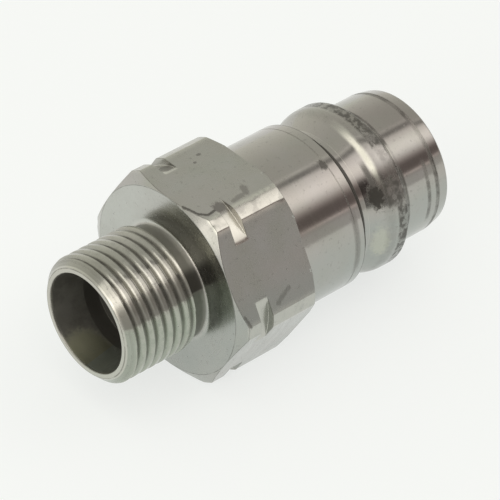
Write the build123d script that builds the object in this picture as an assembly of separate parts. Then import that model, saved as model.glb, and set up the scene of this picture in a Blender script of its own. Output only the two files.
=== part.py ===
from build123d import *
import math
import os

# Hydraulic quick coupling plug: a hexagon stud adapter screwed onto the body of a poppet valve.
# Sizes are millimetres. A station is a distance along the axis from the tube mouth towards the nose.

# Hexagon of the stud adapter
across_flats = 27.0
hex_corner_diameter = 30.16
hex_length = 12.95
hex_chamfer_angle = 30.0
front_chamfer_depth = 1.63
rear_chamfer_depth = 1.04
notch_offset = 3.0
notch_width = 2.05
notch_diameter = 28.18

# Stud of the stud adapter, with its cone and socket for the tube
stud_length = 13.7
thread_diameter = 17.8
rim_diameter = 15.5
rim_chamfer_length = 1.1
undercut_length = 2.65
undercut_diameter = 15.8
undercut_lead_length = 0.6
root_round = 0.9
cone_angle = 24.0
cone_mouth_diameter = 14.2
socket_diameter = 12.2
socket_depth = 7.0
stud_bore_diameter = 10.0

# Screwed joint between the adapter and the plug body
screw_diameter = 20.6
screw_clearance = 0.05
spigot_length = 7.75
spigot_chamfer = 0.5
screw_runout = 0.2
seal_bore_diameter = 21.6
seal_bore_depth = 3.4
seal_bore_lead = 0.25
body_seal_section = 1.3
body_seal_groove_width = 1.8
body_seal_groove_offset = 0.9
seal_clearance = 0.02

# Outside of the plug body
body_diameter = 23.7
body_length = 11.6
groove_diameter = 20.2
groove_length = 2.2
ring_diameter = 23.9
ring_cone_angle = 36.0
ring_crown_round = 3.2
groove_round = 1.6
ring_length = 5.35
ring_shoulder_length = 1.4
nose_diameter = 20.7
nose_length = 7.9
nose_end_diameter = 20.0
nose_taper_length = 2.0
nose_end_round = 0.3
edge_break = 0.15

# Inside of the plug body
head_flow_gap = 1.3
seat_angle = 45.0
mouth_bore_diameter = 11.8
mouth_bore_length = 3.3
mouth_chamfer = 0.35

# Valve guide
guide_diameter = 18.8
guide_seat_clearance = 0.1
guide_thickness = 1.5
guide_window_diameter = 15.6
guide_hub_diameter = 11.0
guide_boss_diameter = 7.0
guide_boss_length = 3.0
guide_leg_width = 2.4
guide_leg_count = 3
stem_clearance = 0.05

# Poppet
stem_diameter = 4.0
stem_overhang = 1.0
stop_shoulder_diameter = 6.6
poppet_travel = 6.0
stop_clearance = 0.1
head_diameter = 13.8
head_rim_length = 2.0
poppet_nose_diameter = 11.4
poppet_recess = 1.0
poppet_nose_chamfer = 0.4
seat_gap = 0.1

# Seal on the poppet
poppet_seal_section = 1.5
poppet_seal_inset = 0.6
poppet_seal_gap = 0.1

# Valve spring, whose wire is drawn eight-sided
spring_wire = 1.2
spring_wire_sides = 8
spring_mean_diameter = 9.2
spring_active_turns = 8
spring_end_clearance = 0.05

# Stations that follow from the lengths
hex_front = stud_length
hex_rear = hex_front + hex_length
spigot_end = hex_rear - spigot_length
guide_seat = spigot_end - guide_thickness
body_end = hex_rear + body_length
groove_end = body_end + groove_length
ring_end = groove_end + ring_length
nose_start = ring_end + ring_shoulder_length
nose_end = nose_start + nose_length
valve_bore_diameter = head_diameter + 2 * head_flow_gap
seat_end = nose_end - mouth_bore_length
seat_slope = math.tan(math.radians(seat_angle))
seat_start = seat_end - (valve_bore_diameter - mouth_bore_diameter) / 2 / seat_slope

# Places on the poppet that follow from the seat
seat_normal_shift = 1 / math.sin(math.radians(seat_angle))
poppet_cone_end = seat_end - seat_gap * seat_normal_shift
seal_centre_radius = head_diameter / 2 - poppet_seal_inset
seal_drop = (seal_centre_radius - mouth_bore_diameter / 2) / seat_slope
seal_centre = seat_end - (poppet_seal_section / 2 + poppet_seal_gap) * seat_normal_shift - seal_drop
seal_half_groove = poppet_seal_section / 2 + seal_clearance
head_front = seal_centre - seal_half_groove
head_back = head_front - head_rim_length
guide_boss_end = spigot_end + guide_boss_length
stop_shoulder = guide_boss_end + poppet_travel + stop_clearance


def turned(outline, rounds=None):
    """Turns a closed outline of (station, radius) points about the axis; rounds maps a point to its radius."""
    rounds = rounds or {}
    radii = [rounds.get(point, 0) for point in outline]
    return revolve(make_face(FilletPolyline(*outline, radius=radii, close=True)), axis=Axis.X)


def seal_ring(section, centre_radius, station):
    """A round-section ring about the axis."""
    return Pos(station, 0, 0) * Rot(0, 90, 0) * Torus(centre_radius, section / 2)


def laid_down(piece):
    """Moves a piece from the axis to the plug's place: lying on a flat, over the middle of its length."""
    return Pos(-nose_end / 2, 0, across_flats / 2) * piece


def hexagon_collar():
    """Hexagon bar with turned corners, 30 degree chamfers at both ends and a notch turned round its corners."""
    corner = hex_corner_diameter / 2
    chamfer_slope = math.tan(math.radians(hex_chamfer_angle))
    notch_start = hex_front + notch_offset
    notch_end = notch_start + notch_width
    blank = turned([
        (hex_front, 0),
        (hex_front, corner - front_chamfer_depth),
        (hex_front + front_chamfer_depth * chamfer_slope, corner),
        (notch_start, corner),
        (notch_start, notch_diameter / 2),
        (notch_end, notch_diameter / 2),
        (notch_end, corner),
        (hex_rear - rear_chamfer_depth * chamfer_slope, corner),
        (hex_rear, corner - rear_chamfer_depth),
        (hex_rear, 0),
    ])
    bar = RegularPolygon(across_flats / 2, 6, major_radius=False)
    return blank & extrude(Plane.YZ.offset(hex_front) * bar, hex_length)


def stud():
    """Stud with a chamfered rim, the thread's outer diameter, an undercut and a rounded root."""
    undercut_start = stud_length - undercut_length
    root = (hex_front, undercut_diameter / 2)
    root_top = (hex_front, undercut_diameter / 2 + root_round)
    outline = [
        (0, 0),
        (0, rim_diameter / 2),
        (rim_chamfer_length, thread_diameter / 2),
        (undercut_start, thread_diameter / 2),
        (undercut_start + undercut_lead_length, undercut_diameter / 2),
        root,
        root_top,
        (hex_front + root_round, undercut_diameter / 2 + root_round),
        (hex_front + root_round, 0),
    ]
    return turned(outline, {root: root_round * 0.98})


def adapter_bore():
    """All that is bored out of the adapter, from the tube cone to the seal bore."""
    cone_length = (cone_mouth_diameter - socket_diameter) / 2 / math.tan(math.radians(cone_angle / 2))
    window = guide_window_diameter / 2
    stud_bore = stud_bore_diameter / 2
    screw = screw_diameter / 2
    seal_bore = seal_bore_diameter / 2
    guide_bore = guide_diameter / 2 + guide_seat_clearance
    screw_start = spigot_end - screw_runout
    seal_bore_start = hex_rear - seal_bore_depth
    return turned([
        (0, 0),
        (0, cone_mouth_diameter / 2),
        (cone_length, socket_diameter / 2),
        (socket_depth, socket_diameter / 2),
        (socket_depth, stud_bore),
        (guide_seat - (window - stud_bore), stud_bore),
        (guide_seat, window),
        (guide_seat, guide_bore),
        (screw_start, guide_bore),
        (screw_start, screw),
        (seal_bore_start, screw),
        (seal_bore_start, seal_bore),
        (hex_rear - seal_bore_lead, seal_bore),
        (hex_rear, seal_bore + seal_bore_lead),
        (hex_rear, 0),
    ])


def stud_adapter():
    """Hexagon and stud as one turned piece."""
    return hexagon_collar() + stud() - adapter_bore()


def plug_body():
    """Spigot, body, ball groove, locking ring and nose as one turned piece, bored for the valve."""
    land = seal_bore_diameter / 2 - screw_clearance
    thread = screw_diameter / 2 - screw_clearance
    land_start = hex_rear - seal_bore_depth + screw_runout
    seal_floor = body_seal_centre_radius() - body_seal_section / 2 - seal_clearance
    seal_groove_end = hex_rear - body_seal_groove_offset
    seal_groove_start = seal_groove_end - body_seal_groove_width
    groove = groove_diameter / 2
    ring = ring_diameter / 2
    ring_top = groove_end + (ring - groove) / math.tan(math.radians(ring_cone_angle))
    groove_foot = (groove_end, groove)
    ring_crown = (ring_top, ring)
    end_edge = (nose_end, nose_end_diameter / 2)
    bore = valve_bore_diameter / 2
    mouth = mouth_bore_diameter / 2
    outline = [
        (spigot_end, bore),
        (spigot_end, thread - spigot_chamfer),
        (spigot_end + spigot_chamfer, thread),
        (land_start, thread),
        (land_start, land),
        (seal_groove_start, land),
        (seal_groove_start, seal_floor),
        (seal_groove_end, seal_floor),
        (seal_groove_end, land),
        (hex_rear, land),
        (hex_rear, body_diameter / 2),
        (body_end - edge_break, body_diameter / 2),
        (body_end, body_diameter / 2 - edge_break),
        (body_end, groove),
        groove_foot,
        ring_crown,
        (ring_end, ring),
        (nose_start, nose_diameter / 2),
        (nose_end - nose_taper_length, nose_diameter / 2),
        end_edge,
        (nose_end, mouth + mouth_chamfer),
        (nose_end - mouth_chamfer, mouth),
        (seat_end, mouth),
        (seat_start, bore),
    ]
    return turned(outline, {groove_foot: groove_round, ring_crown: ring_crown_round, end_edge: nose_end_round})


def body_seal_centre_radius():
    """Radius of the body seal's centre line, from the bore that it seals against."""
    return seal_bore_diameter / 2 - seal_clearance - body_seal_section / 2


def body_seal():
    """Seal in the spigot's groove."""
    station = hex_rear - body_seal_groove_offset - body_seal_groove_width / 2
    return seal_ring(body_seal_section, body_seal_centre_radius(), station)


def valve_guide():
    """Three-legged guide, clamped between the adapter's shoulder and the end of the spigot."""
    leg_length = (guide_window_diameter + guide_diameter) / 4
    legs = PolarLocations(0, guide_leg_count) * Rectangle(
        leg_length, guide_leg_width, align=(Align.MIN, Align.CENTER)
    )
    spider = Circle(guide_diameter / 2) - Circle(guide_window_diameter / 2)
    spider += Circle(guide_hub_diameter / 2)
    spider += legs
    plate = extrude(Plane.YZ.offset(guide_seat) * spider, guide_thickness)
    boss = extrude(Plane.YZ.offset(guide_seat) * Circle(guide_boss_diameter / 2), guide_boss_end - guide_seat)
    stem_hole = Circle(stem_diameter / 2 + stem_clearance)
    return plate + boss - extrude(Plane.YZ.offset(guide_seat) * stem_hole, guide_boss_end - guide_seat)


def poppet():
    """Stem with its stop shoulder, head with the seal's groove, cone and nose."""
    nose = poppet_nose_diameter / 2
    cone_end = poppet_cone_end + (mouth_bore_diameter / 2 - nose) / seat_slope
    lip = seal_centre + seal_half_groove
    lip_radius = nose + (cone_end - lip) * seat_slope
    floor = seal_centre_radius - seal_half_groove
    tip = nose_end - poppet_recess
    return turned([
        (guide_seat - stem_overhang, 0),
        (guide_seat - stem_overhang, stem_diameter / 2),
        (stop_shoulder, stem_diameter / 2),
        (stop_shoulder, stop_shoulder_diameter / 2),
        (head_back, stop_shoulder_diameter / 2),
        (head_back, head_diameter / 2),
        (head_front, head_diameter / 2),
        (head_front, floor),
        (lip, floor),
        (lip, lip_radius),
        (cone_end, nose),
        (tip - poppet_nose_chamfer, nose),
        (tip, nose - poppet_nose_chamfer),
        (tip, 0),
    ])


def poppet_seal():
    """Seal in the head's groove, just clear of the seat's cone."""
    return seal_ring(poppet_seal_section, seal_centre_radius, seal_centre)


def valve_spring():
    """Coil between the guide and the poppet's head, with ends ground flat."""
    start = spigot_end + spring_end_clearance
    length = head_back - spring_end_clearance - start
    pitch = length / spring_active_turns
    path = Helix(pitch, length, spring_mean_diameter / 2)
    section = Plane(origin=path @ 0, z_dir=path % 0) * RegularPolygon(spring_wire / 2, spring_wire_sides)
    coil = Pos(start, 0, 0) * Rot(0, 90, 0) * sweep(section, path, is_frenet=True)
    ground = Pos(start, 0, 0) * Rot(0, 90, 0) * Cylinder(
        spring_mean_diameter, length, align=(Align.CENTER, Align.CENTER, Align.MIN)
    )
    return coil & ground


def write_parts():
    """Writes every piece of the plug to its own file."""
    os.makedirs("parts", exist_ok=True)
    pieces = {
        "stud_adapter": stud_adapter(),
        "plug_body": plug_body(),
        "body_seal": body_seal(),
        "valve_guide": valve_guide(),
        "poppet": poppet(),
        "poppet_seal": poppet_seal(),
        "valve_spring": valve_spring(),
    }
    for name, piece in pieces.items():
        export_step(laid_down(piece), f"parts/{name}.step")


write_parts()
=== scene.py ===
import math

import bmesh
import bpy
import numpy as np
from mathutils import Matrix, Vector


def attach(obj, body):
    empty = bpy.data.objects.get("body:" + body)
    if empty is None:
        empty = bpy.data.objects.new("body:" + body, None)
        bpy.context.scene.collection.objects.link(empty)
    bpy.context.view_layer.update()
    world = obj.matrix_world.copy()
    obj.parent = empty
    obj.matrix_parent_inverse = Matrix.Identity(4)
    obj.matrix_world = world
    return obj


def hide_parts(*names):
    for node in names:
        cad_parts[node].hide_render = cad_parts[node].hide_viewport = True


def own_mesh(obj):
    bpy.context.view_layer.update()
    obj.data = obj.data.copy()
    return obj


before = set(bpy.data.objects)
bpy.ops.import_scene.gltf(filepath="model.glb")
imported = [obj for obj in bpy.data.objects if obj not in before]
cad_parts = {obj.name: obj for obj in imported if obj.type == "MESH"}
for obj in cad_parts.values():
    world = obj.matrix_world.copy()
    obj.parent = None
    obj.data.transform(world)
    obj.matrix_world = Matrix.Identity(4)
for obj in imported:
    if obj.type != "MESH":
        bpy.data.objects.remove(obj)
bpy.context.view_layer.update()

# Hydraulic quick coupling plug, lying on one flat of its hexagon with its axis along X.
# Lengths are in millimetres. A station is the distance from the tube mouth along the axis.
# An angle goes about the axis in degrees, from straight up towards the camera's side.
MM = 0.001
HALF_LENGTH = 27.55
AXIS_HEIGHT = 13.5
TAN_30 = math.tan(math.radians(30))

# Hexagon
HALF_FLATS = 13.5
HALF_CORNERS = 15.08
HEX_FRONT = 13.7
HEX_REAR = 26.65
FRONT_FACE_RADIUS = 13.45
REAR_FACE_RADIUS = 14.04
NOTCH_START = 16.7
NOTCH_END = 18.75
NOTCH_RADIUS = 14.09
CORNER_BLEND = 0.05
EDGE_BREAK = 0.07

# Thread of the stud. Its valley has a flat root of this width between flanks of 35 degrees, and
# stands at THREAD_VALLEY where the angle is 0. The depth grows over the run-in, and the rows
# follow the thread from THREAD_FIRST to THREAD_LAST.
THREAD_PITCH = 1.5
THREAD_RADIUS = 8.9
THREAD_DEPTH = 0.6
THREAD_FLANK = math.tan(math.radians(35))
THREAD_ROOT = 0.14
THREAD_VALLEY = 1.24
THREAD_FIRST = 0.55
THREAD_LAST = 11.6
THREAD_STEPS = 16
THREAD_EDGE = 0.35
RUN_IN_START = 0.45
RUN_IN_LENGTH = 0.9

# Both ends of the stud
RIM_RADIUS = 7.75
RIM_CHAMFER = 1.1
THREAD_END = 11.05
UNDERCUT_START = 11.65
UNDERCUT_RADIUS = 7.9

# Spring
SPRING_START = 18.95
SPRING_END = 47.38
SPRING_RADIUS = 4.6
SPRING_WIRE = 0.6
SPRING_TURNS = 9.6
SPRING_INSET = 0.2
CLOSED_TURNS = 0.7
OPENING_TURNS = 0.5

# Seals: steps round the section and columns about the axis
SEAL_STEPS = 40
SEAL_COLUMNS = 160


# ---- surfaces

def to_frame(station, radius, angle):
    """Points in metres: x is the station from the middle of the plug; y and z are the radius
    turned by the angle from straight up towards -Y, about the axis."""
    turn = np.radians(angle)
    station, radius, turn = np.broadcast_arrays(station, radius, turn)
    return MM * np.stack([
        station - HALF_LENGTH,
        -radius * np.sin(turn),
        AXIS_HEIGHT + radius * np.cos(turn),
    ], axis=-1)


def smooth_step(share):
    """0 up to a share of 0, 1 from a share of 1, and share^2 (3 - 2 share) between them."""
    share = np.clip(share, 0, 1)
    return share * share * (3 - 2 * share)


def lower_of(a, b, width):
    """The lower of two values, blended over a small width where they cross:
    (a + b - sqrt((a - b)^2 + width^2)) / 2."""
    return (a + b - np.sqrt((a - b) ** 2 + width ** 2)) / 2


def rounded(corners, closed=False, steps=4, guard=0.09, wide=0.3):
    """Rows of (station, radius, edge) along an outline of (station, radius, reach) corners, with
    the material on the right of the path. A corner becomes the curve
    (1-u)^2 A + 2u(1-u) C + u^2 B, where C is the corner and A and B lie its reach before and
    after it, but no further than 0.45 of the shorter run beside it. The edge is 1 on a sharp
    round that stands out and -1 in one that goes in, less on a slight turn, and wide / reach
    times that where the reach is more than wide. A guard row on each side of a round keeps the
    shading of the plain runs flat."""
    corners = np.asarray(corners, float)
    if corners.ndim == 2:
        corners = corners[:, None, :]
    place, reach = corners[..., :2], corners[..., 2:]
    back = np.roll(place, 1, axis=0) - place
    ahead = np.roll(place, -1, axis=0) - place
    back_length = np.linalg.norm(back, axis=-1, keepdims=True)
    ahead_length = np.linalg.norm(ahead, axis=-1, keepdims=True)
    back = back / np.maximum(back_length, 1e-9)
    ahead = ahead / np.maximum(ahead_length, 1e-9)
    room = 0.45 * np.minimum(back_length, ahead_length)
    reach = np.minimum(reach, room)
    outer = np.minimum(reach + guard, room)
    cross = ahead[..., 0:1] * back[..., 1:2] - ahead[..., 1:2] * back[..., 0:1]
    weight = np.clip(cross * 2, -1, 1) * (reach > 1e-4) * wide / np.maximum(reach, wide)
    none = np.zeros_like(weight)
    u = np.linspace(0, 1, steps + 1).reshape(-1, 1, 1, 1)
    start, end = place + back * reach, place + ahead * reach
    curve = (1 - u) ** 2 * start + 2 * u * (1 - u) * place + u ** 2 * end
    rows = np.concatenate([
        np.concatenate([place + back * outer, none], axis=-1)[None],
        np.concatenate([curve, weight * np.sin(np.pi * u) ** 0.5], axis=-1),
        np.concatenate([place + ahead * outer, none], axis=-1)[None],
    ])
    rows = np.swapaxes(rows, 0, 1)
    if closed:
        return rows.reshape(-1, *rows.shape[2:])
    middle = rows[1:-1].reshape(-1, *rows.shape[2:])
    ends = np.concatenate([place, none], axis=-1)
    return np.concatenate([ends[:1], middle, ends[-1:]])


def filled(rows, longest):
    """The same rows, with evenly spaced ones added between two that are further apart than the
    longest step."""
    result = [rows[:1]]
    for before, after in zip(rows[:-1], rows[1:]):
        gap = np.linalg.norm((after - before)[..., :2], axis=-1).max()
        count = max(1, math.ceil(gap / longest))
        share = (np.arange(1, count + 1) / count).reshape(-1, 1, 1)
        result.append(before + (after - before) * share)
    return np.concatenate(result)


def distances(points):
    """The length along a line of points, from its first point to each."""
    return np.concatenate([[0], np.cumsum(np.linalg.norm(np.diff(points, axis=0), axis=-1))])


def cells(index):
    """The quads between neighbouring numbers of a grid, each as four corner numbers."""
    corners = [index[:-1, :-1], index[:-1, 1:], index[1:, 1:], index[1:, :-1]]
    return np.stack(corners, axis=-1).reshape(-1, 4)


def grid_piece(name, points, along, edge, body, material, closed=False, crease=38.0):
    """A mesh of the quads between neighbouring points of a grid: rows follow the outline, columns
    go about the axis. The last row joins the first if closed. Points that coincide are merged,
    so the seam and the poles close. The map "run" holds the length along the outline, in units
    of 100 mm, and the share of a turn; "edge" is kept per point."""
    rows, columns = points.shape[:2]
    if closed:
        points = np.concatenate([points, points[:1]])
        along = np.append(along, along[-1] + np.linalg.norm(points[-1, 0] - points[-2, 0]) / MM)
        edge = np.concatenate([edge, edge[:1]])
        rows += 1
    quads = cells(np.arange(rows * columns).reshape(rows, columns))
    mesh = bpy.data.meshes.new(name)
    mesh.vertices.add(rows * columns)
    mesh.vertices.foreach_set("co", points.astype(np.float32).ravel())
    mesh.loops.add(quads.size)
    mesh.loops.foreach_set("vertex_index", quads.ravel().astype(np.int32))
    mesh.polygons.add(len(quads))
    mesh.polygons.foreach_set("loop_start", np.arange(0, quads.size, 4, dtype=np.int32))
    mesh.update(calc_edges=True)
    run = mesh.uv_layers.new(name="run")
    turn = np.linspace(0, 1, columns)
    both = np.stack(np.broadcast_arrays(along[:, None] / 100, turn), axis=-1).reshape(-1, 2)
    run.data.foreach_set("uv", both[quads.ravel()].astype(np.float32).ravel())
    mark = mesh.attributes.new("edge", "FLOAT", "POINT")
    edge = np.broadcast_to(edge, (rows, columns))
    mark.data.foreach_set("value", edge.astype(np.float32).ravel())
    return finished(name, mesh, body, material, crease)


def finished(name, mesh, body, material, crease):
    """Merges coinciding points, turns the faces outwards, shades the mesh smooth up to the crease
    angle and puts it on its body."""
    work = bmesh.new()
    work.from_mesh(mesh)
    bmesh.ops.remove_doubles(work, verts=work.verts, dist=1e-7)
    bmesh.ops.dissolve_degenerate(work, edges=work.edges, dist=1e-7)
    bmesh.ops.recalc_face_normals(work, faces=work.faces)
    work.to_mesh(mesh)
    work.free()
    mesh.shade_smooth()
    mesh.set_sharp_from_angle(angle=math.radians(crease))
    mesh.materials.append(material)
    piece = bpy.data.objects.new(name, mesh)
    bpy.context.scene.collection.objects.link(piece)
    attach(piece, body)
    return piece


def lathe(name, corners, body, material, columns=240, closed=True, longest=0.7):
    """A turned piece: its rounded outline at every angle about the axis."""
    rows = rounded(corners, closed)
    if closed:
        rows = filled(np.concatenate([rows, rows[:1]]), longest)[:-1]
    else:
        rows = filled(rows, longest)
    angle = np.linspace(-180, 180, columns + 1)
    points = to_frame(rows[..., 0], rows[..., 1], angle)
    along = distances(rows[:, 0, :2])
    return grid_piece(name, points, along, rows[..., 2], body, material, closed)


# ---- shader helpers

def node(tree, kind, inputs=None, **settings):
    """Adds a node, with its settings, and sets or links each named input."""
    made = tree.nodes.new(kind)
    for key, value in settings.items():
        setattr(made, key, value)
    for key, value in (inputs or {}).items():
        if isinstance(value, bpy.types.NodeSocket):
            tree.links.new(value, made.inputs[key])
        else:
            made.inputs[key].default_value = value
    return made


def calc(tree, operation, *values, clamp=False):
    """A Math node's result."""
    inputs = dict(enumerate(values))
    return node(tree, "ShaderNodeMath", inputs, operation=operation, use_clamp=clamp).outputs[0]


def vector(tree, operation, *values, result=0, scale=None):
    """A Vector Math node's result."""
    inputs = dict(enumerate(values))
    if scale is not None:
        inputs["Scale"] = scale
    return node(tree, "ShaderNodeVectorMath", inputs, operation=operation).outputs[result]


def chain(tree, operation, first, *others):
    """The values joined one after the other by a Math node's operation."""
    for other in others:
        first = calc(tree, operation, first, other)
    return first


def most(tree, *masks):
    """The largest of the masks."""
    return chain(tree, "MAXIMUM", *masks)


def scaled(tree, *factors):
    """The product of masks and numbers."""
    return chain(tree, "MULTIPLY", *factors)


def total(tree, *values):
    """The sum of the values."""
    return chain(tree, "ADD", *values)


def blend(tree, share, first, second):
    """A colour between first and second; one that isn't a socket is (red, green, blue)."""
    inputs = {0: share}
    for key, colour in ((6, first), (7, second)):
        inputs[key] = (*colour, 1.0) if isinstance(colour, tuple) else colour
    return node(tree, "ShaderNodeMix", inputs, data_type="RGBA").outputs[2]


def spread(tree, value, low, high, to_low=0.0, to_high=1.0):
    """A value mapped smoothly from low..high to to_low..to_high."""
    inputs = {0: value, 1: low, 2: high, 3: to_low, 4: to_high}
    return node(tree, "ShaderNodeMapRange", inputs, interpolation_type="SMOOTHSTEP").outputs[0]


def eased(tree, mask, at_none, at_full):
    """A value that goes smoothly from at_none where the mask is 0 to at_full where it is 1."""
    return spread(tree, mask, 0.0, 1.0, at_none, at_full)


def noise(tree, at, scale, detail=2.0, roughness=0.5):
    """A noise value about 0.5."""
    inputs = {"Vector": at, "Scale": scale, "Detail": detail, "Roughness": roughness}
    return node(tree, "ShaderNodeTexNoise", inputs).outputs["Fac"]


def turn_about_axis(tree, split):
    """The angle in degrees of a separated vector, from straight up towards the camera's side."""
    turn = calc(tree, "ARCTAN2", scaled(tree, split[1], -1.0), split[2])
    return scaled(tree, turn, 180 / math.pi)


# ---- shader groups

ZERO = (0.0, 0.0, 0.0)


def new_group(name, inputs, outputs):
    """A shader group with named sockets; inputs map a name to a number or a vector, and outputs
    map a name to its kind."""
    group = bpy.data.node_groups.new(name, "ShaderNodeTree")
    for key, value in inputs.items():
        kind = "NodeSocketVector" if isinstance(value, tuple) else "NodeSocketFloat"
        socket = group.interface.new_socket(name=key, in_out="INPUT", socket_type=kind)
        socket.default_value = value
    for key, kind in outputs.items():
        group.interface.new_socket(name=key, in_out="OUTPUT", socket_type=f"NodeSocket{kind}")
    given = group.nodes.new("NodeGroupInput").outputs
    return group, given, group.nodes.new("NodeGroupOutput").inputs


def use(tree, group, **inputs):
    """Places a group and gives its outputs; an underscore in a name stands for a blank."""
    inputs = {key.replace("_", " "): value for key, value in inputs.items()}
    return node(tree, "ShaderNodeGroup", inputs, node_tree=group).outputs


def place_group():
    """Where a point is: station and radius in millimetres, angle in degrees, the same place as a
    vector, and two vectors whose noise is drawn out round the axis (turned) or along it (drawn)."""
    group, _, out = new_group("place on the plug", {}, {
        "Place": "Vector", "Station": "Float", "Radius": "Float", "Angle": "Float",
        "Turned": "Vector", "Drawn": "Vector",
    })
    at = node(group, "ShaderNodeTexCoord").outputs["Object"]
    mapping = {"Vector": at, "Scale": (1 / MM,) * 3, "Location": (HALF_LENGTH, 0, -AXIS_HEIGHT)}
    place = node(group, "ShaderNodeMapping", mapping).outputs[0]
    split = node(group, "ShaderNodeSeparateXYZ", {0: place}).outputs
    across = vector(group, "MULTIPLY", place, (0, 1, 1))
    radius = vector(group, "LENGTH", across, result=1)
    run = calc(group, "MULTIPLY_ADD", radius, 0.83, split[0])
    slow = vector(group, "SCALE", across, scale=0.045)
    lengthwise = node(group, "ShaderNodeCombineXYZ", {0: run}).outputs[0]
    results = {
        "Place": place,
        "Station": split[0],
        "Radius": radius,
        "Angle": turn_about_axis(group, split),
        "Turned": vector(group, "ADD", lengthwise, slow),
        "Drawn": vector(group, "MULTIPLY", place, (0.05, 1, 1)),
    }
    for key, value in results.items():
        group.links.new(value, out[key])
    return group


def lines_group():
    """Fine tool lines: two noises of different width on a vector that is drawn out along them."""
    inputs = {"Vector": ZERO, "Per mm": 4.0}
    group, given, out = new_group("tool lines", inputs, {"Height": "Float"})
    fine = noise(group, given["Vector"], given["Per mm"], 2.0, 0.6)
    wide = noise(group, given["Vector"], scaled(group, given["Per mm"], 0.23), 1.0)
    height = calc(group, "MULTIPLY_ADD", fine, 0.6, scaled(group, wide, 0.4))
    group.links.new(height, out["Height"])
    return group


def patches_group():
    """Uneven patches: a noise that is 1 above its level and fades over its softness."""
    inputs = {"Vector": ZERO, "Shift": ZERO, "Per mm": 0.3, "Level": 0.55, "Softness": 0.1}
    group, given, out = new_group("patches", inputs, {"Mask": "Float"})
    at = vector(group, "ADD", given["Vector"], given["Shift"])
    value = noise(group, at, given["Per mm"], 6.0, 0.62)
    low = calc(group, "SUBTRACT", given["Level"], given["Softness"])
    high = calc(group, "ADD", given["Level"], given["Softness"])
    group.links.new(spread(group, value, low, high), out["Mask"])
    return group


def band_group():
    """A band on a value: 1 between From and To, fading to 0 over Fade on both sides."""
    inputs = {"Value": 0.0, "From": 0.0, "To": 1.0, "Fade": 0.1}
    group, given, out = new_group("band", inputs, {"Mask": "Float"})
    start = calc(group, "SUBTRACT", given["From"], given["Fade"])
    end = calc(group, "ADD", given["To"], given["Fade"])
    rise = spread(group, given["Value"], start, given["From"])
    fall = spread(group, given["Value"], given["To"], end, 1.0, 0.0)
    group.links.new(scaled(group, rise, fall), out["Mask"])
    return group


def roughened(group, given, distance, per_mm):
    """A distance made ragged by noise, as far as the group's input Ragged says."""
    rough = calc(group, "SUBTRACT", noise(group, given["Vector"], per_mm, 4.0, 0.65), 0.5)
    return total(group, distance, scaled(group, rough, given["Ragged"]))


def spot_group():
    """A spot about a point: 1 in its middle, ragged, with its own size along each axis."""
    inputs = {"Vector": ZERO, "Centre": ZERO, "Size": (1.0, 1.0, 1.0), "Ragged": 0.5}
    group, given, out = new_group("spot", inputs, {"Mask": "Float"})
    away = vector(group, "SUBTRACT", given["Vector"], given["Centre"])
    distance = vector(group, "LENGTH", vector(group, "DIVIDE", away, given["Size"]), result=1)
    distance = roughened(group, given, distance, 2.2)
    group.links.new(spread(group, distance, 0.55, 1.05, 1.0, 0.0), out["Mask"])
    return group


def stroke_group():
    """A stroke from one point to another: 1 on the line, fading over its width, ragged."""
    inputs = {
        "Vector": ZERO, "Start": ZERO, "End": (1.0, 0.0, 0.0), "Width": 0.4, "Ragged": 0.6,
    }
    group, given, out = new_group("stroke", inputs, {"Mask": "Float"})
    line = vector(group, "SUBTRACT", given["End"], given["Start"])
    away = vector(group, "SUBTRACT", given["Vector"], given["Start"])
    reach = vector(group, "DOT_PRODUCT", away, line, result=1)
    length = vector(group, "DOT_PRODUCT", line, line, result=1)
    foot = vector(group, "SCALE", line, scale=calc(group, "DIVIDE", reach, length, clamp=True))
    distance = vector(group, "LENGTH", vector(group, "SUBTRACT", away, foot), result=1)
    distance = calc(group, "DIVIDE", distance, given["Width"])
    distance = roughened(group, given, distance, 2.6)
    group.links.new(spread(group, distance, 0.4, 1.0, 1.0, 0.0), out["Mask"])
    return group


PLACE = place_group()
LINES = lines_group()
PATCHES = patches_group()
BAND = band_group()
SPOT = spot_group()
STROKE = stroke_group()


def band(tree, value, low, high, fade):
    """1 between low and high, fading to 0 over fade on both sides."""
    return use(tree, BAND, Value=value, From=low, To=high, Fade=fade)["Mask"]


def zone(tree, place, **limits):
    """1 where each named value of the place (Station, Radius or Angle) lies between its low and
    high, fading to 0 over its fade on both sides."""
    return scaled(tree, *(band(tree, place[name], *limit) for name, limit in limits.items()))


def patches(tree, place, per_mm, level, softness, shift=ZERO):
    """Uneven patches on the surface."""
    return use(tree, PATCHES, Vector=place["Place"], Shift=shift, Per_mm=per_mm, Level=level,
               Softness=softness)["Mask"]


def stroke(tree, place, start, end, width, ragged):
    """A stroke between two places, each (station, y, height above the axis) in millimetres."""
    return use(tree, STROKE, Vector=place["Place"], Start=start, End=end, Width=width,
               Ragged=ragged)["Mask"]


def spot(tree, place, centre, size, ragged=0.8):
    """A ragged spot at a place (station, y, height above the axis) in millimetres."""
    return use(tree, SPOT, Vector=place["Place"], Centre=centre, Size=size,
               Ragged=ragged)["Mask"]


# ---- grime, wear and films on the adapter, with painted shade, highlights and reflections

# The burr beside the hexagon's front chamfer: start, end and width of each stroke.
BURR = [
    ((13.95, -2.5, 13.45), (14.45, -4.9, 13.5), 0.28),
    ((14.45, -4.9, 13.5), (15.3, -5.75, 13.5), 0.34),
    ((15.3, -5.75, 13.5), (16.8, -5.6, 13.5), 0.30),
    ((17.0, -5.3, 13.5), (17.7, -5.9, 13.4), 0.34),
]

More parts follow.
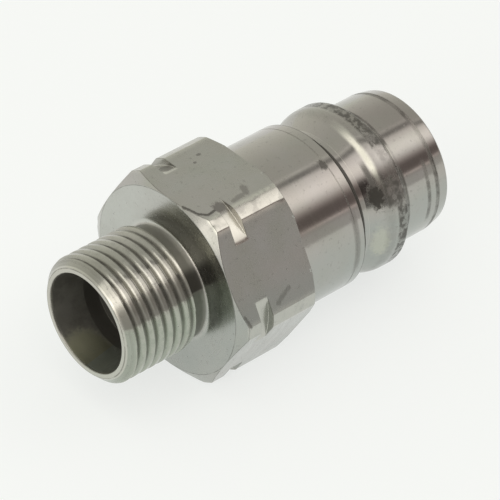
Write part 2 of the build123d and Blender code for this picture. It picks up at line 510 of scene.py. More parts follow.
# Scratches on the flats: start, end, width, raggedness and strength of each stroke.
SCRATCHES = [
    ((22.6, -4.3, 13.5), (22.1, -5.35, 13.5), 0.65, 1.8, 0.8),
    ((22.1, -5.35, 13.5), (19.8, -5.65, 13.5), 0.5, 1.8, 0.7),
    ((22.3, -13.85, 3.0), (20.1, -14.4, 2.0), 0.5, 1.8, 0.7),
    ((14.5, -14.2, 2.4), (15.0, -15.0, 1.0), 0.3, 1.4, 1.0),
]

# Small dark specks on the flats: centre and size of each.
SPECKS = [
    ((22.75, 4.5, 13.5), (0.45, 0.3, 0.4)),
    ((21.25, 3.5, 13.5), (0.3, 0.25, 0.4)),
    ((18.1, -5.9, 13.2), (0.5, 0.5, 0.5)),
]


def mouth_reflection(tree, place):
    """A painted reflection: the lighter olive patch low down inside the mouth."""
    patch = spot(tree, place, (1.9, 0.9, -6.4), (3.6, 5.0, 3.4), 0.4)
    return scaled(tree, patch, zone(tree, place, Radius=(0.0, 7.05, 0.05)))


def adapter_dirt_and_shade(tree, place):
    """Painted shade inside the mouth and deeper in the bore, grime and painted shade in the
    thread's valleys, a painted dark band along the side of the stud, painted shade in the undercut,
    a burr beside the front chamfer, and scratches, specks and stains on the flats and in the
    notches."""
    angle = place["Angle"]
    # Painted shade inside the mouth, uneven, weaker where the mouth's painted reflection lies.
    mouth = scaled(
        tree,
        zone(tree, place, Radius=(0.0, 7.0, 0.1), Station=(0.15, 16.0, 0.2)),
        eased(tree, patches(tree, place, 0.22, 0.5, 0.2), 0.62, 0.85),
        eased(tree, mouth_reflection(tree, place), 1.0, 0.5),
    )
    # Painted shade deeper in the bore.
    deep = scaled(tree, zone(tree, place, Radius=(0.0, 6.3, 0.1), Station=(4.8, 16.0, 0.3)), 0.84)
    # Grime and painted shade in the thread's valleys, weak between 28 and 40 degrees where the
    # light falls, and weaker low down.
    valley = scaled(
        tree,
        zone(tree, place, Radius=(8.2, 8.42, 0.2), Station=(0.9, 10.9, 0.3)),
        eased(tree, patches(tree, place, 0.5, 0.5, 0.2), 0.45, 0.75),
        eased(tree, zone(tree, place, Angle=(28.0, 40.0, 4.0)), 1.0, 0.12),
        spread(tree, angle, 62.0, 68.0, 1.0, 0.55),
    )
    # A painted dark band along the side of the stud, between 39 and 66 degrees; it also sets the
    # painted shade in the undercut.
    shade = scaled(tree, spread(tree, angle, 39.0, 52.0), spread(tree, angle, 63.5, 66.0, 1.0, 0.0))
    stud = zone(tree, place, Station=(0.5, 11.0, 0.5), Radius=(7.5, 9.0, 0.1))
    # Painted shade in the undercut, darkest in the stud's painted dark band.
    undercut = scaled(
        tree,
        zone(tree, place, Radius=(7.85, 8.22, 0.1), Station=(11.2, 13.3, 0.3)),
        spread(tree, shade, -1.0, 1.0, 0.05, 0.95),
    )
    burr = most(tree, *(stroke(tree, place, *values, ragged=1.6) for values in BURR))
    scratches = most(
        tree,
        *(scaled(tree, stroke(tree, place, *values), strength) for *values, strength in SCRATCHES),
        *(spot(tree, place, centre, size) for centre, size in SPECKS),
    )
    notch = scaled(
        tree,
        most(
            tree,
            spot(tree, place, (17.9, 5.4, 12.9), (1.2, 1.5, 1.0), 0.5),
            spot(tree, place, (17.7, -5.2, 13.2), (1.3, 1.1, 0.6), 1.2),
        ),
        zone(tree, place, Radius=(14.06, 14.12, 0.015)),
        0.6,
    )
    return most(tree, mouth, deep, valley, scaled(tree, stud, shade, 0.4), undercut,
                scaled(tree, burr, 0.8), scaled(tree, scratches, 0.55), notch)


def adapter_wear_and_highlight(tree, place):
    """Bright places on the adapter: wear on the turned corners, ragged where they run into the
    flats, a painted highlight on the notches' floors, and wear on the rim. Corners and notches are
    brightest on the camera's side, as a painted highlight."""
    # Brighter between 22 and 46 degrees, on the camera's side: a painted highlight.
    lit_side = eased(tree, zone(tree, place, Angle=(22.0, 46.0, 14.0)), 0.35, 1.0)
    corner = scaled(
        tree,
        spread(tree, place["Radius"], 14.7, 15.02),
        eased(tree, patches(tree, place, 0.9, 0.44, 0.1), 0.35, 0.8),
        lit_side,
    )
    # A painted highlight on the notches' floors, strongest between 12 and 24.5 degrees.
    notch = scaled(
        tree,
        zone(tree, place, Radius=(14.07, 14.11, 0.015), Station=(16.75, 18.7, 0.05)),
        eased(tree, zone(tree, place, Angle=(12.0, 24.5, 2.5)), 1.0, 0.15),
        lit_side,
        0.95,
    )
    rim = scaled(tree, zone(tree, place, Station=(-0.1, 0.18, 0.1)), 0.5)
    return most(tree, corner, notch, rim)


def cloudy(tree, place, mask, strength):
    """The mask of a film or of a painted reflection, times its strength, weaker in large patches.
    """
    clouds = eased(tree, patches(tree, place, 0.14, 0.5, 0.2, (3.0, 8.0, 1.0)), 0.6, 1.0)
    return scaled(tree, mask, strength, clouds)


def stud_tone(tree, place):
    """The browner film on the whole stud."""
    return cloudy(tree, place, zone(tree, place, Station=(-0.5, 13.3, 0.2)), 0.85)


def face_reflection(tree, place):
    """A painted reflection: the pale green tint that lightens the hexagon's front face."""
    return cloudy(tree, place, zone(tree, place, Station=(13.6, 13.72, 0.03)), 0.9)


def low_side_reflection(tree, place):
    """A painted reflection: the green tint low down on the side."""
    return cloudy(tree, place, spread(tree, place["Angle"], 64.0, 84.0), 0.85)


def thread_low_reflection(tree, place):
    """A painted reflection: the stronger green tint low down on the stud."""
    low = spread(tree, place["Angle"], 62.0, 70.0)
    stud = zone(tree, place, Station=(-0.5, 13.3, 0.2))
    return cloudy(tree, place, scaled(tree, stud, low), 0.9)


# ---- grime and films on the plug body, with painted shade, highlights and a dark reflection

def body_dirt_and_shade(tree, place):
    """Grime and painted shade on the plug body: painted shade at the groove's corner and on its
    floor, lines on the body and on the nose, a painted dark reflection in the groove's cone with a
    painted shadow beside it, a speckled band round the ring and a line at the nose's foot, both
    lighter where the highlight falls as a painted highlight, and smudges on both sides of the
    groove."""
    uneven = eased(tree, patches(tree, place, 0.45, 0.5, 0.2, (2.0, 4.0, 8.0)), 0.45, 1.0)
    speckled = eased(tree, patches(tree, place, 1.3, 0.5, 0.14, (5.0, 9.0, 2.0)), 0.32, 0.95)
    # Grime lighter between 33 and 47 degrees, where the highlight falls: a painted highlight.
    lighter_in_highlight = eased(tree, zone(tree, place, Angle=(33.0, 47.0, 6.0)), 1.0, 0.3)
    ring = scaled(tree, zone(tree, place, Station=(44.4, 46.1, 0.5)), speckled, lighter_in_highlight, 0.85)
    nose_foot = scaled(tree, zone(tree, place, Station=(45.9, 47.55, 0.25)), uneven, lighter_in_highlight, 0.7)
    # Painted shade at the groove's corner and on its floor, weaker outside 8 to 84 degrees.
    groove_corner_shade = zone(tree, place, Station=(37.98, 38.3, 0.07))
    groove_floor_shade = scaled(tree, zone(tree, place, Station=(38.3, 39.62, 0.12)), 0.85)
    groove_shade = scaled(
        tree,
        most(tree, groove_corner_shade, groove_floor_shade),
        eased(tree, zone(tree, place, Angle=(8.0, 84.0, 8.0)), 0.4, 1.0),
    )
    # A painted shadow on the cone, beside a painted dark reflection in the groove's cone.
    shadow = zone(tree, place, Station=(41.75, 42.0, 0.32), Angle=(40.0, 54.0, 9.0))
    dark_patch = spot(tree, place, (41.75, -9.7, 5.65), (1.2, 2.1, 2.1), 1.4)
    # The nose line is lighter between 24 and 46 degrees, where the highlight falls: a painted
    # highlight.
    nose_line = scaled(
        tree,
        zone(tree, place, Station=(52.75, 53.15, 0.3)),
        eased(tree, zone(tree, place, Angle=(24.0, 46.0, 8.0)), 0.72, 0.35),
    )
    side_line = zone(tree, place, Station=(51.2, 51.5, 0.3), Angle=(58.0, 100.0, 8.0))
    body_line = zone(tree, place, Station=(36.57, 36.68, 0.1))
    lines = most(tree, nose_line, scaled(tree, side_line, 0.6), scaled(tree, body_line, 0.35))
    ring_smudge = scaled(
        tree,
        zone(tree, place, Station=(43.1, 46.2, 0.5), Angle=(55.0, 67.0, 7.0)),
        spread(tree, speckled, 0.3, 1.0, 0.6, 1.0),
    )
    body_smudge = zone(tree, place, Station=(36.5, 36.9, 0.5), Angle=(68.0, 96.0, 16.0))
    smudges = most(
        tree,
        spot(tree, place, (36.25, -4.85, 10.8), (0.75, 0.95, 0.95), 1.2),
        ring_smudge,
        scaled(tree, body_smudge, 0.45),
    )
    return most(tree, ring, nose_foot, groove_shade, scaled(tree, shadow, 0.6),
                scaled(tree, dark_patch, 0.92), scaled(tree, lines, uneven, 0.95),
                scaled(tree, smudges, 0.75))


def crown_highlight(tree, place):
    """A painted highlight: the bright streak across the ring's crown, on the camera's side."""
    crown = zone(tree, place, Station=(42.4, 42.95, 0.38), Angle=(12.0, 44.0, 20.0))
    return scaled(tree, crown, 0.7)


def groove_side(tree, place):
    """The yellow film low down in the groove."""
    return cloudy(tree, place, spot(tree, place, (41.8, -10.9, -1.2), (1.3, 3.0, 3.0), 1.0), 0.4)


def nose_top(tree, place):
    """The brown-pink film on top of the nose."""
    top = zone(tree, place, Station=(46.4, 55.0, 0.4), Angle=(-12.0, 24.0, 10.0))
    return cloudy(tree, place, top, 0.9)


# ---- materials

# The bright colour is for wear and painted highlights, the dark one for grime and painted shade.
BRIGHT_STEEL = (0.69, 0.67, 0.60)
DIRT_AND_SHADE = (0.034, 0.030, 0.023)
PINK_SHARES = (1.04, 0.965, 0.97)
DARK_SHARES = (0.55, 0.55, 0.55)


def new_material(name):
    """An empty material with its Principled shader and output."""
    material = bpy.data.materials.new(name)
    material.use_nodes = True
    tree = material.node_tree
    tree.nodes.clear()
    shader = node(tree, "ShaderNodeBsdfPrincipled")
    node(tree, "ShaderNodeOutputMaterial", {"Surface": shader.outputs[0]})
    return material, tree, shader


def bump(tree, height, depth):
    """A bump of the given depth in millimetres."""
    inputs = {"Height": height, "Distance": depth * MM, "Strength": 1.0}
    return node(tree, "ShaderNodeBump", inputs).outputs[0]


def tinted(colour, shares):
    """A colour with each channel times its share."""
    return tuple(channel * share for channel, share in zip(colour, shares))


def metal(name, colour, dark_patch, shine, dull, line_map="Turned", per_mm=3.0, line_depth=0.004,
          brushed=0.0, darkening=None, brightening=None, tints=()):
    """Turned or drawn metal: the colour shifts to the darker patch colour and to a pink film in
    patches, and the roughness runs from shine to dull with the tool lines. Small specks are dark.
    Rounds that stand out are bright with wear, and the brightening adds wear and painted
    highlights; creases hold grime and painted shade, and the darkening adds grime, scratches and
    painted shade. Each tint gives the mask and colour of one more film or painted reflection."""
    material, tree, shader = new_material(name)
    place = use(tree, PLACE)
    lines = use(tree, LINES, Vector=place[line_map], Per_mm=per_mm)["Height"]
    haze = patches(tree, place, 0.16, 0.5, 0.16)
    pink = patches(tree, place, 0.09, 0.5, 0.12, (11.0, 3.0, 17.0))
    specks = patches(tree, place, 1.9, 0.64, 0.05, (31.0, 7.0, 3.0))

    edge = node(tree, "ShaderNodeAttribute", attribute_name="edge").outputs["Fac"]
    stands_out = calc(tree, "MULTIPLY", edge, 1.0, clamp=True)
    goes_in = calc(tree, "MULTIPLY", edge, -1.0, clamp=True)
    # Wear on rounds that stand out; the brightening adds wear and painted highlights.
    wear_and_highlight = scaled(tree, stands_out, patches(tree, place, 0.8, 0.44, 0.14), 0.6)
    # Grime and painted shade in creases; the darkening adds grime, scratches and painted shade.
    dirt_and_shade = scaled(tree, goes_in, patches(tree, place, 0.7, 0.40, 0.16), 0.55)
    if brightening:
        wear_and_highlight = most(tree, wear_and_highlight, brightening(tree, place))
    if darkening:
        dirt_and_shade = most(tree, dirt_and_shade, darkening(tree, place))

    tone = blend(tree, haze, colour, dark_patch)
    tone = blend(tree, scaled(tree, pink, 0.35), tone, tinted(colour, PINK_SHARES))
    for mask, tint_colour in tints:
        tone = blend(tree, mask(tree, place), tone, tint_colour)
    tone = blend(tree, scaled(tree, specks, 0.4), tone, tinted(colour, DARK_SHARES))
    tone = blend(tree, wear_and_highlight, tone, BRIGHT_STEEL)
    tone = blend(tree, dirt_and_shade, tone, DIRT_AND_SHADE)
    tree.links.new(tone, shader.inputs["Base Color"])

    rough = spread(tree, lines, 0.25, 0.75, shine, dull)
    for mask, more in ((haze, 0.04), (specks, 0.12), (dirt_and_shade, 0.3)):
        rough = calc(tree, "MULTIPLY_ADD", mask, more, rough)
    tree.links.new(rough, shader.inputs["Roughness"])
    tree.links.new(calc(tree, "MULTIPLY_ADD", dirt_and_shade, -0.7, 1.0), shader.inputs["Metallic"])
    height = calc(tree, "MULTIPLY_ADD", dirt_and_shade, 0.5, lines)
    tree.links.new(bump(tree, height, line_depth), shader.inputs["Normal"])
    if brushed:
        shader.inputs["Anisotropic"].default_value = brushed
        tangent = node(tree, "ShaderNodeTangent", direction_type="UV_MAP", uv_map="run")
        tree.links.new(tangent.outputs[0], shader.inputs["Tangent"])
    return material


def rubber(name):
    """Black seal rubber, greasy in patches."""
    material, tree, shader = new_material(name)
    place = use(tree, PLACE)
    grease = patches(tree, place, 0.9, 0.5, 0.2)
    tone = blend(tree, grease, (0.014, 0.014, 0.015), (0.028, 0.027, 0.025))
    tree.links.new(tone, shader.inputs["Base Color"])
    tree.links.new(eased(tree, grease, 0.55, 0.3), shader.inputs["Roughness"])
    grain = noise(tree, place["Place"], 9.0, 3.0)
    tree.links.new(bump(tree, grain, 0.01), shader.inputs["Normal"])
    return material


adapter_steel = metal(
    "adapter_steel", (0.44, 0.432, 0.405), (0.41, 0.408, 0.365), 0.15, 0.26, brushed=0.3,
    darkening=adapter_dirt_and_shade, brightening=adapter_wear_and_highlight, tints=(
        # The stud's film, then painted reflections: in the mouth, on the front face, and green low
        # down on the side and on the stud.
        (stud_tone, (0.35, 0.34, 0.295)),
        (mouth_reflection, (0.36, 0.355, 0.25)),
        (face_reflection, (0.52, 0.53, 0.495)),
        (low_side_reflection, (0.395, 0.415, 0.385)),
        (thread_low_reflection, (0.35, 0.38, 0.315)),
    ),
)
body_steel = metal(
    "body_steel", (0.43, 0.412, 0.385), (0.405, 0.395, 0.355), 0.085, 0.15, brushed=0.3,
    darkening=body_dirt_and_shade, brightening=crown_highlight, tints=(
        # A painted green reflection low down on the side, then films in the groove and on the nose.
        (low_side_reflection, (0.375, 0.40, 0.375)),
        (groove_side, (0.60, 0.61, 0.48)),
        (nose_top, (0.37, 0.335, 0.315)),
    ),
)
poppet_steel = metal(
    "poppet_steel", (0.46, 0.45, 0.43), (0.40, 0.40, 0.37), 0.18, 0.3, brushed=0.5)
guide_steel = metal(
    "guide_steel", (0.42, 0.41, 0.36), (0.38, 0.36, 0.28), 0.28, 0.42,
    line_map="Drawn", per_mm=2.0,
)
spring_steel = metal(
    "spring_steel", (0.30, 0.295, 0.285), (0.24, 0.235, 0.22), 0.25, 0.4,
    line_map="Place", per_mm=2.0, line_depth=0.002,
)
seal_rubber = rubber("seal_rubber")


# ---- pieces

def adapter_angles():
    """Angles of the columns: closer together at the turned corners, with one exactly where each
    turned diameter meets the flats."""
    corner, notch, rear = (
        math.degrees(math.acos(HALF_FLATS / radius))
        for radius in (HALF_CORNERS, NOTCH_RADIUS, REAR_FACE_RADIUS)
    )
    half = np.concatenate([
        np.linspace(0, rear, 9),
        np.linspace(notch, corner - 0.5, 6),
        [corner - 0.2, corner, corner + 0.2],
        np.linspace(corner + 0.5, 30, 4),
    ])
    sector = np.unique(np.concatenate([-half, half]).round(6))
    turns = (sector[None, :-1] + 60 * np.arange(6)[:, None]).ravel()
    return np.append(turns, turns[0] + 360)


def rim_radius(station):
    """Radius of the chamfer from the rim up to the thread."""
    return RIM_RADIUS + station * (THREAD_RADIUS - RIM_RADIUS) / RIM_CHAMFER


def lead_radius(station):
    """Radius of the lead from the thread's end down to the undercut."""
    slope = (THREAD_RADIUS - UNDERCUT_RADIUS) / (UNDERCUT_START - THREAD_END)
    return UNDERCUT_RADIUS + (UNDERCUT_START - station) * slope


def thread_rows(angle):
    """Rows that follow the thread: row u stands at station u + pitch * turns, held between the
    ends. The radius falls from the crest at 1 / tan(flank angle) per millimetre towards the
    nearest valley, down to the root, and never stands above the rim's chamfer or the lead of the
    undercut. Each meeting of two such slopes is blended over a small width."""
    turns = angle / 360
    last_start = THREAD_LAST + 1.5 * THREAD_PITCH
    start = np.arange(THREAD_FIRST - THREAD_PITCH, last_start, THREAD_PITCH / THREAD_STEPS)
    station = np.clip(start[:, None] + THREAD_PITCH * turns, THREAD_FIRST, THREAD_LAST)
    phase = (station - THREAD_VALLEY) / THREAD_PITCH - turns
    off_valley = np.abs((phase + 0.5) % 1 - 0.5) * THREAD_PITCH
    height = (off_valley - THREAD_ROOT / 2) / THREAD_FLANK
    height = -lower_of(-height, 0.0, 0.06)
    depth = THREAD_DEPTH * smooth_step((station - RUN_IN_START) / RUN_IN_LENGTH)
    thread = THREAD_RADIUS - depth + lower_of(height, depth, 0.05)
    ends = lower_of(rim_radius(station), lead_radius(station), 0.02)
    radius = lower_of(thread, ends, 0.02)
    radius = np.where(station <= THREAD_FIRST, rim_radius(THREAD_FIRST), radius)
    radius = np.where(station >= THREAD_LAST, lead_radius(THREAD_LAST), radius)
    crest = np.clip((radius - (THREAD_RADIUS - 0.18)) / 0.12, 0, 1)
    root = np.clip((THREAD_RADIUS - 0.38 - radius) / 0.2, 0, 1)
    on_thread = (station > THREAD_FIRST) * (station < THREAD_END)
    return np.stack([station, radius, THREAD_EDGE * (crest - root) * on_thread], axis=-1)


def hexagon_rows(angle):
    """Outline from the undercut over the hexagon and back through the bore, one for each angle.
    The hexagon's radius is half the flats / cos(angle from the nearest flat), held to the turned
    corners, and each chamfer runs to it at 30 degrees."""
    from_flat = (angle + 30) % 60 - 30
    flats = HALF_FLATS / np.cos(np.radians(from_flat))
    side = lower_of(flats, HALF_CORNERS, CORNER_BLEND)
    notch = np.minimum(side, NOTCH_RADIUS)
    rear = np.minimum(side, REAR_FACE_RADIUS)
    outline = [
        # undercut and front face
        (THREAD_LAST, lead_radius(THREAD_LAST), 0),
        (UNDERCUT_START, UNDERCUT_RADIUS, 0.04),
        (HEX_FRONT, UNDERCUT_RADIUS, 0.88),
        (HEX_FRONT, FRONT_FACE_RADIUS, EDGE_BREAK),
        # chamfer, notch and chamfer of the hexagon
        (HEX_FRONT + (side - FRONT_FACE_RADIUS) * TAN_30, side, EDGE_BREAK),
        (NOTCH_START, side, EDGE_BREAK),
        (NOTCH_START, notch, EDGE_BREAK),
        (NOTCH_END, notch, EDGE_BREAK),
        (NOTCH_END, side, EDGE_BREAK),
        (HEX_REAR - (side - rear) * TAN_30, side, EDGE_BREAK),
        (HEX_REAR, rear, EDGE_BREAK),
        # bore for the seal, bore for the screw, seat of the guide
        (HEX_REAR, 11.05, 0.05),
        (HEX_REAR - 0.25, 10.8, 0.05),
        (23.25, 10.8, 0.05),
        (23.25, 10.3, 0.05),
        (18.7, 10.3, 0.05),
        (18.7, 9.5, 0.05),
        (17.4, 9.5, 0.05),
        # bore for the oil, socket and cone for the tube
        (17.4, 7.8, 0.05),
        (14.6, 5.0, 0.05),
        (7.0, 5.0, 0.08),
        (7.0, 6.1, 0.08),
        (4.705, 6.1, 0.05),
        (0.0, 7.1, 0.09),
        # rim
        (0.0, RIM_RADIUS, 0.12),
        (THREAD_FIRST, rim_radius(THREAD_FIRST), 0),
    ]
    corners = [np.stack(np.broadcast_arrays(*corner, angle)[:3], axis=-1) for corner in outline]
    return rounded(np.stack(corners))


# Small knocks on the hexagon: station, angle, depth, and reach along and about the axis.
KNOCKS = [
    (14.6, 29.0, 0.10, 0.45, 1.6),
    (15.3, 24.6, 0.07, 0.35, 1.2),
    (16.3, 31.0, 0.06, 0.3, 1.4),
    (21.8, 26.2, 0.05, 0.4, 1.0),
    (25.6, 33.0, 0.07, 0.4, 1.3),
    (14.8, 91.5, 0.09, 0.4, 1.5),
    (24.9, 88.0, 0.06, 0.5, 1.2),
    (15.0, -31.0, 0.08, 0.4, 1.4),
    (23.5, -28.5, 0.05, 0.6, 1.0),
    (20.4, 151.0, 0.06, 0.5, 1.3),
    (25.8, 209.0, 0.07, 0.4, 1.4),
    (14.7, 270.0, 0.08, 0.4, 1.6),
]


def knocked(rows, angle):
    """Lowers the outside of the hexagon by depth * exp(-(along^2 + about^2)) at each knock."""
    station, radius = rows[..., 0], rows[..., 1]
    drop = np.zeros_like(radius)
    for at, turn, depth, along, about in KNOCKS:
        off = (angle - turn + 180) % 360 - 180
        drop += depth * np.exp(-((station - at) / along) ** 2 - (off / about) ** 2)
    outside = np.clip((radius - 12.5) / 0.8, 0, 1) * (station > HEX_FRONT + 0.01)
    return np.stack([station, radius - drop * outside, rows[..., 2]], axis=-1)


def stud_adapter():
    """The hexagon and stud, as one closed surface about the axis."""
    angle = adapter_angles()
    outside = knocked(filled(hexagon_rows(angle), 0.45), angle)
    rows = np.concatenate([outside, thread_rows(angle)])
    points = to_frame(rows[..., 0], rows[..., 1], angle)
    along = distances(points.mean(axis=1)) / MM
    piece = grid_piece("stud_adapter_surface", points, along, rows[..., 2], "housing",
                       adapter_steel, closed=True, crease=34.0)
    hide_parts("stud_adapter")


def plug_body():
    """The spigot, body, groove, ring and nose, turned in one piece with its bore and seat."""
    corners = [
        # spigot, with the seal's groove
        (18.9, 8.2, 0.05), (18.9, 9.75, 0.05), (19.4, 10.25, 0.05), (23.45, 10.25, 0.04),
        (23.45, 10.75, 0.05), (23.95, 10.75, 0.06), (23.95, 9.46, 0.1), (25.75, 9.46, 0.1),
        (25.75, 10.75, 0.06), (26.65, 10.75, 0.05),
        # body, with a fine tool line
        (26.65, 11.85, 0.08), (36.56, 11.85, 0.03), (36.62, 11.80, 0.03), (36.68, 11.85, 0.03),
        (38.1, 11.85, 0.04), (38.25, 11.7, 0.04),
        # groove, then the ring from its cone to its shoulder
        (38.25, 10.1, 0.12), (40.45, 10.1, 0.02), (42.996, 11.95, 1.15), (45.8, 11.95, 0.16),
        # nose, with a fine tool line
        (47.2, 10.35, 0.12), (52.98, 10.35, 0.03), (53.08, 10.24, 0.03), (53.2, 10.33, 0.03),
        (55.1, 10.0, 0.25),
        # mouth and seat of the valve
        (55.1, 6.25, 0.08), (54.75, 5.9, 0.08), (51.8, 5.9, 0.06), (49.5, 8.2, 0.06),
    ]
    piece = lathe("plug_body_surface", corners, "housing", body_steel, columns=256,
                  longest=0.6)
    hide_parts("plug_body")


def poppet():
    """The valve's stem, head and nose, closed on the axis at both ends."""
    corners = [
        # stem and its stop shoulder
        (16.4, 0.0, 0), (16.4, 2.0, 0.25), (28.0, 2.0, 0.1), (28.0, 3.3, 0.1),
        # head, with the seal's groove and the cone
        (47.43, 3.3, 0.15), (47.43, 6.9, 0.15), (49.43, 6.9, 0.08), (49.43, 5.53, 0.08),
        (50.97, 5.53, 0.08), (50.97, 6.59, 0.08), (51.86, 5.7, 0.1),
        # nose and its dimple
        (53.7, 5.7, 0.1), (54.1, 5.3, 0.12), (54.1, 0.9, 0.1), (53.75, 0.0, 0),
    ]
    piece = lathe("poppet_surface", corners, "valve", poppet_steel, columns=160,
                  closed=False)
    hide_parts("poppet")


def seal(name, node_name, body, centre_radius, station, half):
    """A round-section ring: centre radius and station plus half the section, turned once round."""
    turn = np.linspace(180, -180, SEAL_STEPS + 1)[:, None]
    angle = np.linspace(-180, 180, SEAL_COLUMNS + 1)
    radius = centre_radius + half * np.sin(np.radians(turn))
    along = station + half * np.cos(np.radians(turn))
    points = to_frame(along, radius, angle)
    length = np.radians(180 - turn[:, 0]) * half
    edge = np.zeros_like(turn)
    piece = grid_piece(name, points, length, edge, body, seal_rubber)
    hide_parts(node_name)


def valve_spring():
    """Round wire on a helix: the wire's circle is carried along the coil, whose rise is one wire
    per turn in the closed end turns and wider between them. Both ends are ground flat, by
    holding the stations, and each is closed by a row of points in the wire's middle."""
    at = np.linspace(0, SPRING_TURNS, 901)
    step = at[1] - at[0]
    opening = np.clip((at - CLOSED_TURNS) / OPENING_TURNS, 0, 1)
    closing = np.clip((SPRING_TURNS - CLOSED_TURNS - at) / OPENING_TURNS, 0, 1)
    open_share = smooth_step(opening * closing)
    closed_rise = 2 * SPRING_WIRE + 0.02
    reach = SPRING_END - SPRING_START - 2 * SPRING_INSET
    extra = (reach - closed_rise * SPRING_TURNS) / (open_share.sum() * step)
    rise = closed_rise + extra * open_share
    climbed = np.concatenate([[0], np.cumsum((rise[1:] + rise[:-1]) / 2 * step)])
    centre = SPRING_START + SPRING_INSET + climbed
    centre = centre - (centre[-1] - (SPRING_END - SPRING_INSET)) * at / SPRING_TURNS
    slope = np.arctan2(rise, 2 * np.pi * SPRING_RADIUS)[:, None]
    angle = 360 * at
    around = np.radians(np.linspace(0, 360, 17))
    outwards = SPRING_WIRE * np.cos(around)
    upwards = SPRING_WIRE * np.sin(around)
    station = centre[:, None] + upwards * np.cos(slope)
    station = np.clip(station, SPRING_START, SPRING_END)
    back = np.degrees(upwards * np.sin(slope) / SPRING_RADIUS)
    points = to_frame(station, SPRING_RADIUS + outwards, angle[:, None] - back)
    first, last = (
        np.broadcast_to(row.mean(axis=0), row.shape)[None] for row in (points[0], points[-1])
    )
    points = np.concatenate([first, points, last])
    length = np.radians(angle) * SPRING_RADIUS
    length = np.concatenate([[0], length, length[-1:]])
    piece = grid_piece("valve_spring_coil", points, length, np.zeros((len(length), 1)), "housing",
                       spring_steel, crease=50.0)
    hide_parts("valve_spring")
    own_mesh(piece)


stud_adapter()
plug_body()
poppet()
seal("body_seal_ring", "body_seal", "housing", 10.13, 24.85, 0.65)
seal("poppet_seal_ring", "poppet_seal", "valve", 6.3, 50.198, 0.75)
valve_spring()
for guide_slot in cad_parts["valve_guide"].material_slots:
    guide_slot.material = guide_steel


# ---- floor, light and camera

# In metres
FLOOR_HALF_WIDTH = 4.0
FLOOR_DROP = 0.00003

DARK_DIRECTION = (-0.592, -0.80, 0.10)


def floor():
    """A plain pale floor: a flat grid just under the plug. What the camera, a reflection or a
    transmission sees is mostly an even white."""
    side = np.linspace(-FLOOR_HALF_WIDTH, FLOOR_HALF_WIDTH, 5)
    y, x = np.meshgrid(side, side, indexing="ij")
    points = np.stack([x, y, np.full_like(x, -FLOOR_DROP)], axis=-1).reshape(-1, 3)
    mesh = bpy.data.meshes.new("floor")
    mesh.from_pydata(points.tolist(), [], cells(np.arange(x.size).reshape(x.shape)).tolist())
    material, tree, shader = new_material("floor_pale")
    at = node(tree, "ShaderNodeTexCoord").outputs["Object"]
    tone = blend(tree, noise(tree, at, 3.0), (0.90, 0.925, 0.91), (0.92, 0.945, 0.93))
    tree.links.new(tone, shader.inputs["Base Color"])
    shader.inputs["Roughness"].default_value = 0.9
    shader.inputs["Specular IOR Level"].default_value = 0.0
    mesh.materials.append(material)
    seen = node(tree, "ShaderNodeLightPath").outputs
    kinds = ("Is Camera Ray", "Is Glossy Ray", "Is Transmission Ray")
    share = scaled(tree, most(tree, *(seen[kind] for kind in kinds)), 0.7)
    light = {"Color": (0.985, 1.0, 0.985, 1.0), "Strength": 1.0}
    white = node(tree, "ShaderNodeEmission", light).outputs[0]
    both = node(tree, "ShaderNodeMixShader", {0: share, 1: shader.outputs[0], 2: white})
    tree.links.new(both.outputs[0], tree.nodes["Material Output"].inputs["Surface"])
    made = bpy.data.objects.new("floor", mesh)
    bpy.context.scene.collection.objects.link(made)


def placed(made, place, right, up, back):
    """Puts an object at a place, with its axes along right, up and back."""
    turned = Matrix((right, up, back)).transposed().to_4x4()
    made.matrix_world = Matrix.Translation(place) @ turned
    bpy.context.scene.collection.objects.link(made)


def soft_box(name, towards, distance, width, height, radiance, colour, along):
    """A soft box in metres, facing the plug from the given direction, with its width laid along
    the given line. A lamp of this area gives its radiance at a power of pi * area * radiance."""
    back = Vector(towards).normalized()
    right = (Vector(along) - back * back.dot(Vector(along))).normalized()
    lamp = bpy.data.lights.new(name, "AREA")
    lamp.shape = "RECTANGLE"
    lamp.size = width
    lamp.size_y = height
    lamp.energy = math.pi * width * height * radiance
    lamp.color = colour
    made = bpy.data.objects.new(name, lamp)
    placed(made, back * distance, right, back.cross(right), back)


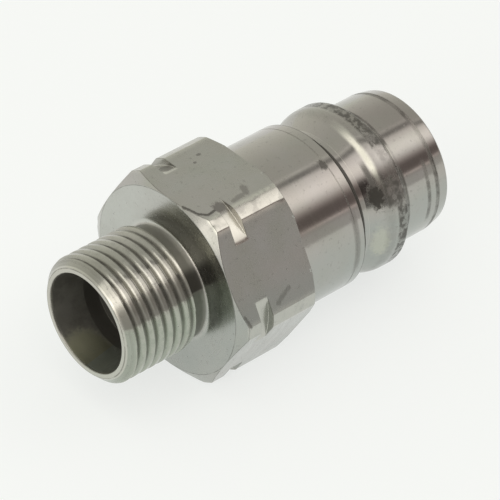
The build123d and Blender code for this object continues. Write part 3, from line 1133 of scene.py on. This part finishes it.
def studio():
    """A pale room whose tone goes by the turn about the plug's axis, from the back's horizon at
    -90 degrees over the top to the front's at 90. It is bright at the back, brighter still in a
    long strip overhead on the camera's side, dark below that strip and pale again near the
    floor, with thin seams between. A second bright strip crosses it on the tube's side, and the
    side of the tube and one direction towards the camera are darker. The light is green-white
    at the back, warm overhead, pink below the strip and nearly white near the floor."""
    world = bpy.data.worlds.new("studio")
    bpy.context.scene.world = world
    world.use_nodes = True
    tree = world.node_tree
    tree.nodes.clear()
    at = node(tree, "ShaderNodeTexCoord").outputs["Generated"]
    split = node(tree, "ShaderNodeSeparateXYZ", {0: at}).outputs
    along = split[0]
    turn = turn_about_axis(tree, split)

    back = spread(tree, turn, -110.0, -20.0, 0.95, 0.62)
    edge_of_strip = spread(tree, turn, 6.0, 13.0, 0.0, 0.5)
    middle_of_strip = spread(tree, turn, 11.0, 28.0, 0.0, 0.32)
    end_of_strip = spread(tree, turn, 30.0, 57.0, 1.0, 0.0)
    strip = scaled(tree, total(tree, edge_of_strip, middle_of_strip), end_of_strip)
    below = spread(tree, turn, 32.0, 58.0, 0.0, -0.42)
    near_floor = spread(tree, turn, 64.0, 80.0, 0.0, 0.40)
    dark_seam = scaled(tree, band(tree, turn, 2.5, 5.5, 3.0), -0.3)
    low_seam = scaled(tree, band(tree, turn, 70.5, 72.5, 1.5), 1.9)
    light_seams = most(tree, band(tree, turn, -3.5, -2.0, 1.5), low_seam)
    level = total(tree, back, strip, below, near_floor, dark_seam, scaled(tree, light_seams, 0.2))

    crossing = band(tree, along, -0.34, -0.14, 0.13)
    crossing = scaled(tree, crossing, band(tree, turn, 4.0, 44.0, 32.0))
    to_crossing = calc(tree, "SUBTRACT", 1.65, level)
    level = total(tree, level, scaled(tree, crossing, to_crossing))

    facing = vector(tree, "DOT_PRODUCT", at, DARK_DIRECTION, result=1)
    hollow = spread(tree, facing, 0.93, 0.985, 0.0, 0.25)
    tube_side = scaled(
        tree,
        spread(tree, along, 0.4, -0.1, 0.0, 0.7),
        spread(tree, along, -0.85, -0.6),
        band(tree, turn, 52.0, 92.0, 12.0),
    )
    darker = calc(tree, "SUBTRACT", 1.0, most(tree, hollow, tube_side))
    level = scaled(tree, level, darker)

    colour = blend(tree, spread(tree, turn, -20.0, 20.0), (0.985, 1.0, 0.92), (1.0, 0.965, 0.93))
    colour = blend(tree, spread(tree, turn, 38.0, 58.0), colour, (1.0, 0.84, 0.80))
    colour = blend(tree, spread(tree, turn, 66.0, 80.0), colour, (0.97, 0.96, 0.93))
    colour = blend(tree, crossing, colour, (1.0, 0.985, 0.90))
    room = node(tree, "ShaderNodeBackground", {"Color": colour, "Strength": level}).outputs[0]
    node(tree, "ShaderNodeOutputWorld", {"Surface": room})


def camera(azimuth, elevation, roll, target, distance, lens):
    """A camera that looks at the target from the given azimuth and elevation, turned by the roll
    about its own axis."""
    a, e, r = (math.radians(value) for value in (azimuth, elevation, roll))
    back = Vector((math.sin(a) * math.cos(e), -math.cos(a) * math.cos(e), math.sin(e)))
    level = Vector((0, 0, 1)).cross(back).normalized()
    upright = back.cross(level)
    right = level * math.cos(r) + upright * math.sin(r)
    up = upright * math.cos(r) - level * math.sin(r)
    data = bpy.data.cameras.new("camera")
    data.sensor_width = 36
    data.lens = lens
    data.clip_start = 0.01
    made = bpy.data.objects.new("camera", data)
    placed(made, MM * Vector(target) + back * MM * distance, right, up, back)
    bpy.context.scene.camera = made


floor()
studio()
soft_box("low_card", towards=(-0.92, -0.12, 0.36), distance=0.6, width=0.42, height=0.36,
         radiance=1.2, colour=(1.0, 0.98, 0.92), along=(0, 1, 0))
camera(azimuth=-43.625, elevation=38.651, roll=2.52, target=(-0.306, -1.220, 12.396),
       distance=450.045, lens=245.66)
bpy.context.scene.view_settings.view_transform = "Standard"
